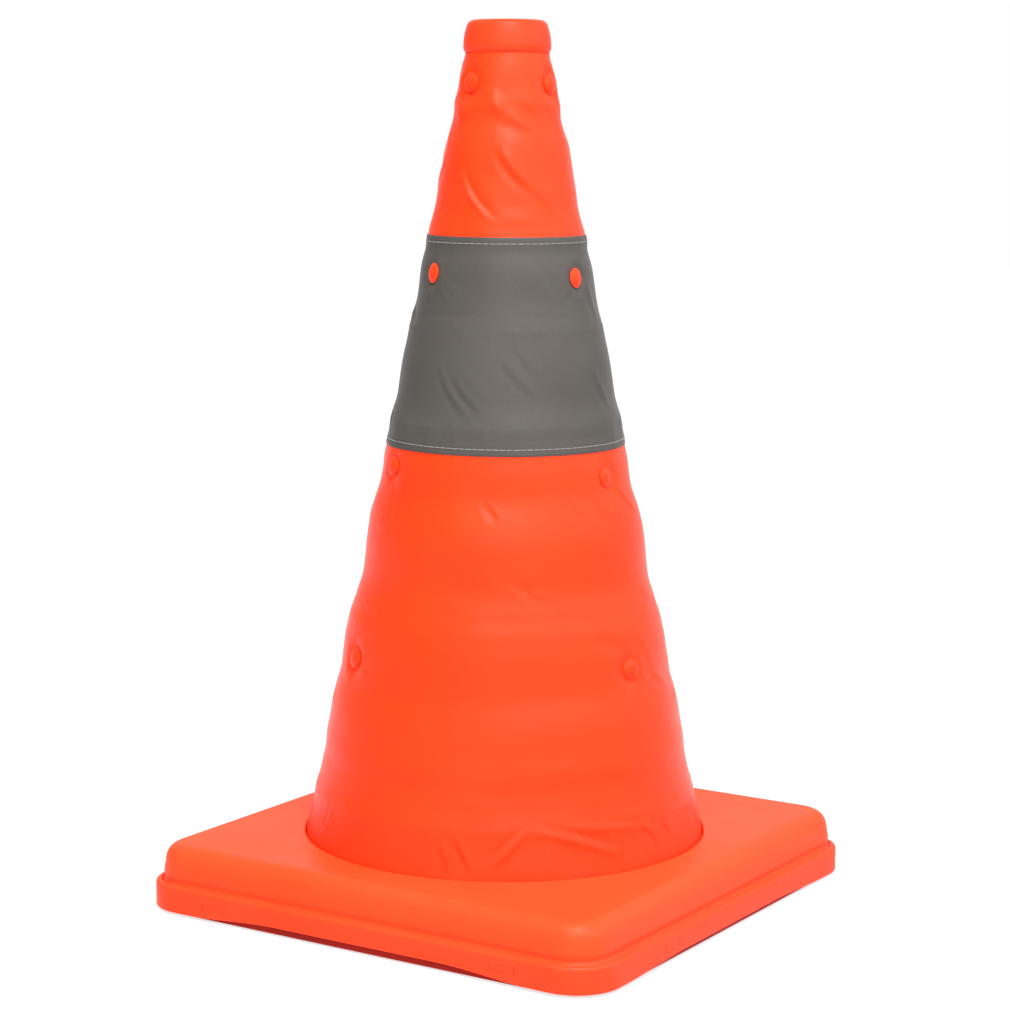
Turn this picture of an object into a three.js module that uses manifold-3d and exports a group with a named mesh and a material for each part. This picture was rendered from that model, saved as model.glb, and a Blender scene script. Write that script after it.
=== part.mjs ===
// Collapsible traffic cone: eight tapered rings telescope out of a square two-part base,
// inside a riveted fabric sleeve with a grey band, and a plastic cap closes the top.
// Millimetres, +Z up. The origin is on the ground, at the centre of the base.
import * as THREE from 'three';
import { mergeVertices } from 'three/addons/utils/BufferGeometryUtils.js';
import Module from 'manifold-3d';

const wasm = await Module();
wasm.setup();

// ---- Driving dimensions ----

const CONE_HEIGHT = 450;
const GAP = 0.3;              // between pieces that touch
const ROUND_SEGMENTS = 24;    // facets of everything that turns about the cone's axis

const BASE_HALF = 136;        // half the side of the tray's rim, the widest part
const BASE_CORNER = 24;       // plan radius of the rim's corners
const CORNER_STEPS = 5;
const SHELL_TOP = 33.6;
const SHELL_WALL = 2.2;
const SHELL_EDGE = 8.5;       // radius of the shell's top edge
const OPENING_RADIUS = 104.2; // where the sleeve enters the shell

const TRAY_BOTTOM = 1;
const TRAY_FLOOR = 2.4;       // floor thickness
const RIM_TOP = 15;
const RIM_EDGE = 2.2;         // rounding of the rim's top edge
const RIM_WALL = 3.1;
const RIM_INSET = 4.4;        // how far the rim's underside draws in

const SCREW_AT = 117;         // corner screws, from the centre along X and Y
const FOOT_AT = 98;
const CLAMP_AT = 111.5;       // radius of the four clamp screws
const CLAMP_TOP = 24;         // top of the collar's clamp flange, under the sleeve's hem
const CLAMP_LIP = 25.3;       // underside of the shell's lip, over the hem
const CLAMP_RADIUS = 117;

const RING_COUNT = 8;
const RING_PITCH = 47.2;      // height that each ring shows, and how far it slides
const RING_OVERLAP = 6;       // length that stays inside the next ring
const RING_STEP = 9.7;        // radius gained from one ring to the next
const RING_WALL = 1.5;
const LIP_DEPTH = 1.3;        // inward lip at a ring's top
const LIP_HEIGHT = 2;
const LIP_PLAY = 0.6;         // between a lip and the ring that it guides
const BEAD_CATCH = 0.9;       // how far a ring's bead reaches under the lip
const COLLAR_TOP = 61;
const COLLAR_RADIUS = 96.9;
const RING_TAPER = (RING_STEP - RING_WALL - LIP_DEPTH - LIP_PLAY) / RING_PITCH;

const CAP_BOTTOM = 433.6;
const CAP_RADIUS = 21.9;
const SPIGOT_RADIUS = 17.6;   // ring 1's neck, inside the cap
const NECK_SHOULDER = 432.6;

const SLEEVE_THICKNESS = 0.5;
const BAND_THICKNESS = 0.4;
const BAND_BOTTOM = 236.2;
const BAND_TOP = 342.8;

// Three rivets hold the sleeve to every other ring. They are set by hand, so each has its own
// place: the angle of the facet that it sits on, its shift along it and its drop from the top.
const RIVET_ROWS = [
  { ring: 1, grip: 0.95, places: [[0, 2, 20.7], [120, 1, 19.5], [255, -0.5, 20.2]] },
  { ring: 3, grip: 1.5, places: [[0, -3.8, 22.3], [120, 0, 21.2], [240, 4.2, 20.3]] },
  { ring: 5, grip: 0.95, places: [[0, -5.4, 26.6], [120, -1, 24.5], [240, -2.5, 23.2]] },
  { ring: 7, grip: 0.95, places: [[345, 9.7, 27], [120, -2, 25.5], [240, -5.3, 26.4]] },
];
const RIVET_HEAD = 5;
const RIVET_SHANK = 2;
const RIVET_DOME = 1.9;
const HUG = 7;                // the sleeve follows the ring this far above and below a rivet

// ---- Materials ----

const matte = (color, roughness) => new THREE.MeshStandardMaterial({ color, roughness, metalness: 0 });
const SHELL_PLASTIC = matte(0xfe6a40, 0.45);
const TRAY_PLASTIC = matte(0xfb5a34, 0.45);
const RING_PLASTIC = matte(0xf0562c, 0.5);
const CAP_PLASTIC = matte(0xfd5a30, 0.45);
const RIVET_PLASTIC = matte(0xfd5326, 0.35);
const SLEEVE_FABRIC = matte(0xfe5c34, 0.7);
const BAND_FABRIC = matte(0x6b6863, 0.55);
const FOOT_RUBBER = matte(0x2a2a2c, 0.85);
const SCREW_STEEL = new THREE.MeshStandardMaterial({ color: 0xb9bcc0, roughness: 0.35, metalness: 1 });

// ---- Geometry helpers ----

// A body of revolution about Z. The profile is a list of [radius, z], anticlockwise, and it
// closes on itself unless it starts and ends on the axis. Facet centres fall on angle 0.
function turned(profile, segments = ROUND_SEGMENTS) {
  const closed = profile[0][0] === 0 ? profile : [...profile, profile[0]];
  const points = closed.map(([radius, z]) => new THREE.Vector2(radius, z));
  const geometry = new THREE.LatheGeometry(points, segments, Math.PI / 2 + Math.PI / segments);
  return geometry.rotateX(Math.PI / 2);
}

function cylinder(radius, low, high, x = 0, y = 0, segments = 16) {
  return turned([[0, low], [radius, low], [radius, high], [0, high]], segments).translate(x, y, 0);
}

function box(width, depth, low, high, x, y) {
  return new THREE.BoxGeometry(width, depth, high - low).translate(x, y, (low + high) / 2);
}

// A closed body with a rounded-square plan. Each profile entry is [half side, z], on nested
// outlines parallel to the tray's rim, from the centre below to the centre above.
function squareBody(profile) {
  const loop = 4 * (CORNER_STEPS + 1);
  const points = profile.map(([half, z]) => new THREE.Vector2(half, z));
  const geometry = new THREE.LatheGeometry(points, loop).rotateX(Math.PI / 2);
  const position = geometry.getAttribute('position');
  for (let i = 0; i <= loop; i += 1) {
    const step = i % loop;
    const corner = Math.floor(step / (CORNER_STEPS + 1));
    const turn = (step % (CORNER_STEPS + 1)) / CORNER_STEPS;
    const angle = (corner + turn) * Math.PI / 2;
    const middle = (corner + 0.5) * Math.PI / 2;
    profile.forEach(([half, z], j) => {
      const radius = Math.min(half, Math.max(BASE_CORNER - (BASE_HALF - half), 2));
      const centre = (half - radius) * Math.SQRT2;
      const x = centre * Math.cos(middle) + radius * Math.cos(angle);
      const y = centre * Math.sin(middle) + radius * Math.sin(angle);
      position.setXYZ(i * profile.length + j, x, y, z);
    });
  }
  return geometry;
}

function toSolid(geometry) {
  const bare = geometry.clone();
  bare.deleteAttribute('normal');
  bare.deleteAttribute('uv');
  const merged = mergeVertices(bare, 1e-4);
  const index = merged.getIndex().array;
  const triangles = [];
  for (let i = 0; i < index.length; i += 3) {
    const [a, b, c] = [index[i], index[i + 1], index[i + 2]];
    if (a !== b && b !== c && c !== a) {
      triangles.push(a, b, c);
    }
  }
  const vertProperties = new Float32Array(merged.getAttribute('position').array);
  const triVerts = new Uint32Array(triangles);
  return new wasm.Manifold(new wasm.Mesh({ numProp: 3, vertProperties, triVerts }));
}

function toGeometry(solid) {
  const mesh = solid.getMesh();
  const geometry = new THREE.BufferGeometry();
  geometry.setAttribute('position', new THREE.BufferAttribute(new Float32Array(mesh.vertProperties), 3));
  geometry.setIndex(new THREE.BufferAttribute(new Uint32Array(mesh.triVerts), 1));
  return geometry;
}

// A body with other bodies added to it and then cut out of it.
function shaped(body, added, cut) {
  let solid = toSolid(body);
  for (const geometry of added) {
    solid = solid.add(toSolid(geometry));
  }
  for (const geometry of cut) {
    solid = solid.subtract(toSolid(geometry));
  }
  return toGeometry(solid);
}

const cone = new THREE.Group();

function addPiece(name, geometry, material, parent = cone) {
  const mesh = new THREE.Mesh(geometry, material);
  mesh.name = name;
  parent.add(mesh);
  return mesh;
}

const CORNERS = [['front_left', -1, -1], ['front_right', 1, -1], ['rear_right', 1, 1], ['rear_left', -1, 1]];

// ---- Base: shell, tray, feet and corner screws ----

const SNAP_HALF = 7;
const SNAP_LOW = 6.6;
const SNAP_HIGH = 10.2;
const FRONT_SNAP = 86;        // snap places along the front and rear sides
const SIDE_SNAP = 62;         // and along the left and right sides

// Two snaps on each side: a function makes each from its centre and its size along X and Y.
function snaps(make) {
  const list = [];
  for (const sign of [-1, 1]) {
    for (const side of [-1, 1]) {
      list.push(make(sign * FRONT_SNAP, side, true));
      list.push(make(sign * SIDE_SNAP, side, false));
    }
  }
  return list;
}

function snapBox(along, side, alongX, half, from, to, low, high) {
  const centre = side * (from + to) / 2;
  const depth = to - from;
  return alongX
    ? box(2 * half, depth, low, high, along, centre)
    : box(depth, 2 * half, low, high, centre, along);
}

const SHELL_SKIRT = BASE_HALF - RIM_WALL - 0.5;
const SHELL_SIDE_LEAN = 1.6;

// The outer side of the shell as [half side, z], drawn in by an inset for the inner side.
function shellSide(inset) {
  const edge = SHELL_EDGE - inset;
  const centre = SHELL_SKIRT - SHELL_SIDE_LEAN - SHELL_EDGE;
  const side = [[SHELL_SKIRT - inset, RIM_TOP + 0.9]];
  for (let step = 0; step <= 4; step += 1) {
    const angle = THREE.MathUtils.degToRad(6 + 21 * step);
    side.push([centre + edge * Math.cos(angle), SHELL_TOP - SHELL_EDGE + edge * Math.sin(angle)]);
  }
  return side;
}

function baseShell() {
  const floor = TRAY_BOTTOM + TRAY_FLOOR;
  const skirtFoot = floor + GAP;
  const outside = squareBody([[0, skirtFoot], [SHELL_SKIRT, skirtFoot], ...shellSide(0), [0, SHELL_TOP]]);
  const ceiling = SHELL_TOP - SHELL_WALL;
  const cavity = squareBody([[0, 0], [SHELL_SKIRT - SHELL_WALL, 0], ...shellSide(SHELL_WALL), [0, ceiling]]);
  const lip = turned([
    [OPENING_RADIUS, CLAMP_LIP], [OPENING_RADIUS + SHELL_WALL, CLAMP_LIP],
    [OPENING_RADIUS + SHELL_WALL, SHELL_TOP - 0.5], [OPENING_RADIUS, SHELL_TOP - 0.5],
  ]);
  const bosses = CORNERS.map(([, x, y]) => (
    cylinder(4, floor + 2.6, ceiling + 1, x * SCREW_AT, y * SCREW_AT, 12)
  ));
  const pilots = CORNERS.map(([, x, y]) => cylinder(1.8, 0, 22, x * SCREW_AT, y * SCREW_AT, 8));
  const clampBosses = clampPlaces().map(([x, y]) => cylinder(4, CLAMP_LIP, ceiling + 1, x, y, 12));
  const clampPilots = clampPlaces().map(([x, y]) => cylinder(1.8, 0, 30.5, x, y, 8));
  const tabs = snaps((along, side, alongX) => snapBox(
    along, side, alongX, SNAP_HALF - 0.5, SHELL_SKIRT - 1, BASE_HALF - 0.8, SNAP_LOW + 0.4, SNAP_HIGH - 0.4,
  ));
  const opening = cylinder(OPENING_RADIUS, 0, CONE_HEIGHT, 0, 0, ROUND_SEGMENTS);
  const hollow = toGeometry(toSolid(outside).subtract(toSolid(cavity)));
  return shaped(hollow, [lip, ...bosses, ...clampBosses, ...tabs], [opening, ...pilots, ...clampPilots]);
}

const FOOT_RADIUS = 12;
const FOOT_RECESS = 1.2;
const POCKET_ROOF = 3.4;

function baseTray() {
  const floor = TRAY_BOTTOM + TRAY_FLOOR;
  const rimInner = BASE_HALF - RIM_WALL;
  const dish = squareBody([
    [0, TRAY_BOTTOM], [BASE_HALF - RIM_INSET, TRAY_BOTTOM], [BASE_HALF, TRAY_BOTTOM + 3.6],
    [BASE_HALF, RIM_TOP - RIM_EDGE], [BASE_HALF - 0.7, RIM_TOP - 0.7], [BASE_HALF - RIM_EDGE, RIM_TOP],
    [rimInner, RIM_TOP], [rimInner, floor], [0, floor],
  ]);
  const added = [];
  const cut = [];
  for (const [, x, y] of CORNERS) {
    const foot = [x * FOOT_AT, y * FOOT_AT];
    const screw = [x * SCREW_AT, y * SCREW_AT];
    added.push(cylinder(15, TRAY_BOTTOM, floor + FOOT_RECESS, ...foot));
    added.push(cylinder(6, TRAY_BOTTOM, floor + 2.2, ...screw, 12));
    cut.push(cylinder(FOOT_RADIUS + GAP, 0, TRAY_BOTTOM + FOOT_RECESS, ...foot));
    cut.push(cylinder(2.5, 0, 10, ...foot, 8));
    cut.push(cylinder(4, 0, POCKET_ROOF, ...screw, 12));
    cut.push(cylinder(1.8, 0, 10, ...screw, 8));
  }
  const windows = snaps((along, side, alongX) => snapBox(
    along, side, alongX, SNAP_HALF, rimInner - 1, BASE_HALF + 1, SNAP_LOW, SNAP_HIGH,
  ));
  return shaped(dish, added, [...cut, ...windows]);
}

// A push-in foot: a disc below the tray and a stem with a barb above its floor.
function foot() {
  const seat = TRAY_BOTTOM + FOOT_RECESS - GAP;
  const pad = TRAY_BOTTOM + TRAY_FLOOR + FOOT_RECESS;
  return turned([
    [0, 0], [FOOT_RADIUS - 1, 0], [FOOT_RADIUS, 0.8], [FOOT_RADIUS, seat], [2.1, seat],
    [2.1, pad + GAP], [3.2, pad + GAP], [1.6, pad + 3], [0, pad + 3],
  ], 12);
}

// A pan-head screw that points up, with the top of its head at z = 0.
function screw(length, headRadius = 3.3) {
  return turned([
    [0, -1.6], [headRadius - 0.8, -1.6], [headRadius, -0.9], [headRadius, 0],
    [1.5, 0], [1.5, length - 1.5], [0, length],
  ], 10);
}

// ---- Collar and rings ----

function clampPlaces() {
  return CORNERS.map(([, x, y]) => [x * CLAMP_AT * Math.SQRT1_2, y * CLAMP_AT * Math.SQRT1_2]);
}

const ringTop = (k) => COLLAR_TOP + (RING_COUNT + 1 - k) * RING_PITCH;
const ringRadius = (k) => COLLAR_RADIUS - (RING_COUNT + 1 - k) * RING_STEP;
const ringOuter = (k, z) => ringRadius(k) + RING_TAPER * (ringTop(k) - z);

// The lip that every ring but the smallest has, from its outer top edge to its inner wall.
function lipProfile(k) {
  const top = ringTop(k);
  const inner = ringRadius(k) - RING_WALL - LIP_DEPTH;
  return [
    [ringRadius(k), top], [inner, top], [inner, top - LIP_HEIGHT],
    [ringOuter(k, top - LIP_HEIGHT) - RING_WALL, top - LIP_HEIGHT],
  ];
}

function collar() {
  const k = RING_COUNT + 1;
  const bottom = 5.2;
  const flangeLow = CLAMP_TOP - 2;
  const ring = turned([
    [ringOuter(k, bottom) - RING_WALL, bottom], [ringOuter(k, bottom), bottom],
    [ringOuter(k, flangeLow), flangeLow], [CLAMP_RADIUS, flangeLow], [CLAMP_RADIUS, CLAMP_TOP],
    [ringOuter(k, CLAMP_TOP), CLAMP_TOP], ...lipProfile(k),
  ]);
  return shaped(ring, [], clampPlaces().map(([x, y]) => cylinder(1.8, 0, CLAMP_TOP + 5, x, y, 8)));
}

// Ring 1 has a neck and a top plate for the cap where the others have a lip.
function neckProfile() {
  const under = NECK_SHOULDER - 1.6;
  return [
    [ringOuter(1, NECK_SHOULDER), NECK_SHOULDER], [SPIGOT_RADIUS, NECK_SHOULDER], [SPIGOT_RADIUS, 443],
    [1.8, 443], [1.8, 441], [SPIGOT_RADIUS - 1.6, 441], [SPIGOT_RADIUS - 1.6, under],
    [ringOuter(1, under) - RING_WALL, under],
  ];
}

function ring(k) {
  const bottom = ringTop(k + 1) - RING_OVERLAP;
  const beadTop = ringTop(k + 1) - LIP_HEIGHT - GAP;
  const bead = ringRadius(k + 1) - RING_WALL - LIP_DEPTH + BEAD_CATCH;
  const body = turned([
    [ringOuter(k, bottom) - RING_WALL, bottom], [bead, bottom], [bead, beadTop],
    [ringOuter(k, beadTop), beadTop], ...(k === 1 ? neckProfile() : lipProfile(k)),
  ]);
  const row = RIVET_ROWS.find((entry) => entry.ring === k);
  return row ? shaped(body, [], rivetHoles(row)) : body;
}

// ---- Rivets ----

const RING_TILT = Math.atan(RING_TAPER);
const FLAT = Math.cos(Math.PI / ROUND_SEGMENTS); // a facet's middle lies nearer the axis

const averageDrop = (row) => row.places.reduce((sum, place) => sum + place[2], 0) / row.places.length;

// Places a piece made along +Z so that it stands on the ring's wall at a rivet.
function onWall(ringNumber, [angle, shift, drop]) {
  const height = ringTop(ringNumber) - drop;
  const radius = ringOuter(ringNumber, height) * FLAT;
  const turn = THREE.MathUtils.degToRad(angle);
  const x = radius * Math.cos(turn) - shift * Math.sin(turn);
  const y = radius * Math.sin(turn) + shift * Math.cos(turn);
  const place = new THREE.Matrix4().makeTranslation(x, y, height);
  place.multiply(new THREE.Matrix4().makeRotationZ(turn));
  return place.multiply(new THREE.Matrix4().makeRotationY(Math.PI / 2 - RING_TILT));
}

function rivetHoles(row) {
  const hole = () => cylinder(RIVET_SHANK + GAP, -6, 6, 0, 0, 8);
  return row.places.map((place) => hole().applyMatrix4(onWall(row.ring, place)));
}

const STUD_END = -4.2;

function rivet(grip) {
  return turned([
    [0, STUD_END], [RIVET_SHANK - 0.5, STUD_END], [RIVET_SHANK, STUD_END + 0.6], [RIVET_SHANK, grip],
    [RIVET_HEAD, grip], [RIVET_HEAD - 0.3, grip + 0.8], [RIVET_HEAD - 1.9, grip + 1.6],
    [0, grip + RIVET_DOME],
  ], 12);
}

// The retaining cap on the inner end of a rivet, set in far enough to clear the curved wall.
function rivetCap(ringNumber, shift) {
  const radius = 4.2;
  const curve = (radius + Math.abs(shift)) ** 2 / (2 * ringRadius(ringNumber));
  const top = -RING_WALL - GAP - curve;
  return turned([
    [RIVET_SHANK + GAP, top - 1.2], [radius, top - 1.2], [radius, top], [RIVET_SHANK + GAP, top],
  ], 10);
}

// ---- Sleeve and band ----

const sleeveShoulder = (k) => ringRadius(k) + 0.9;

// Outer surface of the sleeve as [radius, z] from the cap down to the shell. It rests on each
// ring's top edge, draws in above the next one, and is held against the wall at the rivets.
function sleeveOutline() {
  const outline = [[18.6, 440], [18.6, 433.3], [21.1, 433.3]];
  for (let k = 1; k <= RING_COUNT; k += 1) {
    const top = ringTop(k);
    const row = RIVET_ROWS.find((entry) => entry.ring === k);
    if (k > 1) {
      outline.push([sleeveShoulder(k), top]);
    }
    if (row) {
      for (const side of [-HUG, HUG]) {
        const z = top - averageDrop(row) - side;
        outline.push([ringOuter(k, z) + SLEEVE_THICKNESS + 0.25, z]);
      }
    }
    outline.push([sleeveShoulder(k + 1) - 2.9, top - RING_PITCH + 11]);
  }
  outline.push([sleeveShoulder(RING_COUNT + 1), COLLAR_TOP], [103.3, 34], [103.6, 24.95], [109, 24.95]);
  return outline;
}

function outlineRadius(z) {
  const outline = sleeveOutline().slice(2);
  const i = outline.findIndex((point) => point[1] <= z);
  const [[r0, z0], [r1, z1]] = [outline[i - 1], outline[i]];
  return r0 + (r1 - r0) * (z0 - z) / (z0 - z1);
}

function throughCloth(rows) {
  return rows.flatMap(rivetHoles);
}

function sleeve() {
  const outer = sleeveOutline();
  const inner = outer.map(([radius, z]) => [radius - SLEEVE_THICKNESS, z]);
  inner[1][1] -= SLEEVE_THICKNESS;
  inner[2][1] -= SLEEVE_THICKNESS;
  inner[inner.length - 2][1] -= SLEEVE_THICKNESS;
  inner[inner.length - 1] = [109, 24.95 - SLEEVE_THICKNESS];
  const cloth = turned([...inner, ...outer.reverse()]);
  return shaped(cloth, [], throughCloth(RIVET_ROWS));
}

function band() {
  const middle = sleeveOutline().slice(2).filter(([, z]) => z < BAND_TOP - 1 && z > BAND_BOTTOM + 1);
  const path = [[outlineRadius(BAND_TOP), BAND_TOP], ...middle, [outlineRadius(BAND_BOTTOM), BAND_BOTTOM]];
  const inner = path.map(([radius, z]) => [radius + 0.15, z]);
  const outer = path.map(([radius, z]) => [radius + 0.15 + BAND_THICKNESS, z]);
  const cloth = turned([...inner, ...outer.reverse()]);
  return shaped(cloth, [], throughCloth([RIVET_ROWS[1]]));
}

// ---- Cap ----

function topCap() {
  const inner = SPIGOT_RADIUS + 1.5;
  const underTop = CONE_HEIGHT - 3.5;
  return turned([
    [0, CONE_HEIGHT - 2], [1.8, CONE_HEIGHT - 2], [1.8, 443.3], [4.5, 443.3], [4.5, underTop],
    [inner, underTop], [inner, CAP_BOTTOM], [CAP_RADIUS - 0.7, CAP_BOTTOM], [CAP_RADIUS, CAP_BOTTOM + 4],
    [CAP_RADIUS, CONE_HEIGHT - 7.5], [CAP_RADIUS - 0.6, CONE_HEIGHT - 4],
    [CAP_RADIUS - 2, CONE_HEIGHT - 1.4], [CAP_RADIUS - 4.4, CONE_HEIGHT - 0.2], [0, CONE_HEIGHT],
  ]);
}

// ---- Assembly ----

addPiece('base_tray', baseTray(), TRAY_PLASTIC);
addPiece('base_shell', baseShell(), SHELL_PLASTIC);
addPiece('collar_ring', collar(), RING_PLASTIC);
for (const [corner, x, y] of CORNERS) {
  addPiece(`foot_${corner}`, foot(), FOOT_RUBBER).position.set(x * FOOT_AT, y * FOOT_AT, 0);
  const tray = addPiece(`tray_screw_${corner}`, screw(15), SCREW_STEEL);
  tray.position.set(x * SCREW_AT, y * SCREW_AT, POCKET_ROOF - GAP);
}
clampPlaces().forEach(([x, y], i) => {
  addPiece(`clamp_screw_${i + 1}`, screw(8), SCREW_STEEL).position.set(x, y, CLAMP_TOP - 2 - GAP);
});
for (let k = RING_COUNT; k >= 1; k -= 1) {
  addPiece(`ring_${k}`, ring(k), RING_PLASTIC);
}
addPiece('top_cap', topCap(), CAP_PLASTIC);
addPiece('cap_screw', screw(6.5, 3), SCREW_STEEL).position.set(0, 0, 441 - GAP);
addPiece('sleeve', sleeve(), SLEEVE_FABRIC);
addPiece('grey_band', band(), BAND_FABRIC);
for (const row of RIVET_ROWS) {
  row.places.forEach((place, i) => {
    const name = `${row.ring}${'abc'[i]}`;
    const wall = onWall(row.ring, place);
    addPiece(`rivet_${name}`, rivet(row.grip), RIVET_PLASTIC).applyMatrix4(wall);
    addPiece(`rivet_cap_${name}`, rivetCap(row.ring, place[1]), RIVET_PLASTIC).applyMatrix4(wall);
  });
}

export default cone;
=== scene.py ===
import math
import random

import bpy
import numpy as np
from mathutils import Matrix, Vector


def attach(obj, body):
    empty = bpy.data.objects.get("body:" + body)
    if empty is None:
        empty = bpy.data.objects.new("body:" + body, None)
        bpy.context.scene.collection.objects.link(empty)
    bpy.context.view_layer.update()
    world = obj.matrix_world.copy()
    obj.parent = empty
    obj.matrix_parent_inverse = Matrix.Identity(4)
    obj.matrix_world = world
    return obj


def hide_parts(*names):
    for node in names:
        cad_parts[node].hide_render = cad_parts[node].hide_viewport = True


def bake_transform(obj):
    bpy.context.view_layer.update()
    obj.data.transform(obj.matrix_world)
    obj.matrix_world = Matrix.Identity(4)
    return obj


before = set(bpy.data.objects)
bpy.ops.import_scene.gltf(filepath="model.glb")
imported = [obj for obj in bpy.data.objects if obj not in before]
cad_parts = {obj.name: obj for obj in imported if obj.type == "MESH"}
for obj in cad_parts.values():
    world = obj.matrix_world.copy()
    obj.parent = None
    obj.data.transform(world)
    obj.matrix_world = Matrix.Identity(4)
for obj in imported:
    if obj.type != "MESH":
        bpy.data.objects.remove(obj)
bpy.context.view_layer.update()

MM = 0.001


# ---- What the frame says ----

def cad_points(node):
    """A CAD node's vertices, in millimetres."""
    return np.array([v.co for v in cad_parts[node].data.vertices]) / MM


def low(node):
    return cad_points(node).min(0)


def high(node):
    return cad_points(node).max(0)


def top_edge_radius(node):
    points = cad_points(node)
    top = points[points[:, 2] > points[:, 2].max() - 0.05]
    return np.hypot(top[:, 0], top[:, 1]).max()


COLLAR = 9                     # the fixed collar counts as the ring below ring 8
RING_TOP = {k: high(f"ring_{k}")[2] for k in range(2, COLLAR)}
RING_TOP[COLLAR] = high("collar_ring")[2]
PITCH = RING_TOP[7] - RING_TOP[8]
RING_TOP[1] = RING_TOP[2] + PITCH
RING_RADIUS = {k: top_edge_radius(f"ring_{k}") for k in range(2, COLLAR)}
RING_RADIUS[COLLAR] = top_edge_radius("collar_ring")
STEP = RING_RADIUS[8] - RING_RADIUS[7]
RING_RADIUS[1] = RING_RADIUS[2] - STEP
RING_FACETS = 24
WALL_SLOPE = 0.1335            # a ring's wall against the vertical
LINE_SLOPE = STEP / PITCH      # the whole cone's side

CONE_TOP = high("top_cap")[2]
CAP_BOTTOM = low("top_cap")[2]
CAP_RADIUS = high("top_cap")[0]
SHELL_TOP = high("base_shell")[2]
TRAY_HALF = high("base_tray")[0]
TRAY_BOTTOM = low("base_tray")[2]
RIM_TOP = high("base_tray")[2]
BAND_TOP = high("grey_band")[2]
BAND_BOTTOM = low("grey_band")[2]
SLEEVE_HEM = low("sleeve")[2]
OPENING_RADIUS = 104.2         # the shell's round opening

VIEW_AZIMUTH = math.radians(-57.242)   # the side of the cone that the camera faces
SEAM_AZIMUTH = VIEW_AZIMUTH + math.pi  # the sleeve's sewn seam is at the back


# ---- Camera, light and floor ----

def add_camera():
    data = bpy.data.cameras.new("camera")
    data.lens = 92.43
    data.sensor_width = 36
    camera = bpy.data.objects.new("camera", data)
    distance, height = 1.32546, 0.39635
    across = distance * math.cos(VIEW_AZIMUTH)
    along = distance * math.sin(VIEW_AZIMUTH)
    turn = Matrix.Rotation(VIEW_AZIMUTH + math.radians(90 + 0.013), 4, "Z")
    tilt = Matrix.Rotation(math.radians(81.723), 4, "X")
    roll = Matrix.Rotation(math.radians(0.216), 4, "Z")
    camera.matrix_world = Matrix.Translation((across, along, height)) @ turn @ tilt @ roll
    bpy.context.scene.collection.objects.link(camera)
    bpy.context.scene.camera = camera


def add_area_light(name, azimuth, elevation, distance, size, power, gloss_only=False):
    """A soft light that looks at the cone's middle; its azimuth is from the camera, to the right."""
    data = bpy.data.lights.new(name, "AREA")
    data.shape = "RECTANGLE"
    data.size, data.size_y = size
    data.energy = power
    light = bpy.data.objects.new(name, data)
    turn = VIEW_AZIMUTH + math.radians(azimuth)
    rise = math.radians(elevation)
    place = Vector((math.cos(turn) * math.cos(rise), math.sin(turn) * math.cos(rise), math.sin(rise)))
    target = Vector((0, 0, 0.2))
    light.location = target + place * distance
    light.rotation_euler = (-place).to_track_quat("-Z", "Y").to_euler()
    light.visible_diffuse = not gloss_only
    bpy.context.scene.collection.objects.link(light)


def add_world(azimuth, shade):
    """A white studio with one shaded side; the azimuth is from the camera, to the right."""
    world = bpy.data.worlds.new("studio")
    world.use_nodes = True
    tree = world.node_tree
    background = tree.nodes["Background"]
    background.inputs["Color"].default_value = (1, 1, 1, 1)
    turn = VIEW_AZIMUTH + math.radians(azimuth)
    sight = add_node(tree, "ShaderNodeTexCoord").outputs["Generated"]
    side = (math.cos(turn), math.sin(turn), 0)
    toward = add_node(tree, "ShaderNodeVectorMath", {0: sight, 1: side}, operation="DOT_PRODUCT")
    glow = remap(tree, toward.outputs["Value"], 0.45, 0.9, 1, shade)
    tree.links.new(glow, background.inputs["Strength"])
    bpy.context.scene.world = world


def add_floor():
    size = 6
    mesh = bpy.data.meshes.new("floor")
    corners = [(-size, -size, 0), (size, -size, 0), (size, size, 0), (-size, size, 0)]
    mesh.from_pydata(corners, [], [(0, 1, 2, 3)])
    floor = bpy.data.objects.new("floor", mesh)
    bpy.context.scene.collection.objects.link(floor)
    paper, _, shader = new_material("floor_paper", (0.34, 0.34, 0.34), 0.9, 0.0)
    shader.inputs["Emission Color"].default_value = (1, 1, 1, 1)
    shader.inputs["Emission Strength"].default_value = 0.7
    mesh.materials.append(paper)


# ---- Materials ----

def new_material(name, colour, roughness, specular=0.5):
    material = bpy.data.materials.new(name)
    material.use_nodes = True
    tree = material.node_tree
    shader = tree.nodes["Principled BSDF"]
    shader.inputs["Base Color"].default_value = (*colour, 1)
    shader.inputs["Roughness"].default_value = roughness
    shader.inputs["Specular IOR Level"].default_value = specular
    return material, tree, shader


def add_node(tree, kind, inputs=None, **settings):
    node = tree.nodes.new(kind)
    for key, value in settings.items():
        setattr(node, key, value)
    for key, value in (inputs or {}).items():
        if isinstance(value, bpy.types.NodeSocket):
            tree.links.new(value, node.inputs[key])
        else:
            node.inputs[key].default_value = value
    return node


def blotches(tree, coordinates, scale, detail=2.0):
    node = add_node(tree, "ShaderNodeTexNoise", {"Vector": coordinates, "Scale": scale, "Detail": detail})
    return node.outputs["Fac"]


def remap(tree, value, low_in, high_in, low_out, high_out):
    node = add_node(tree, "ShaderNodeMapRange", {
        "Value": value, "From Min": low_in, "From Max": high_in, "To Min": low_out, "To Max": high_out,
    })
    return node.outputs["Result"]


def tint(tree, fac, dark, light):
    node = add_node(tree, "ShaderNodeMix", {"Factor": fac}, data_type="RGBA")
    node.inputs["A"].default_value = (*dark, 1)
    node.inputs["B"].default_value = (*light, 1)
    return node.outputs["Result"]


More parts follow.
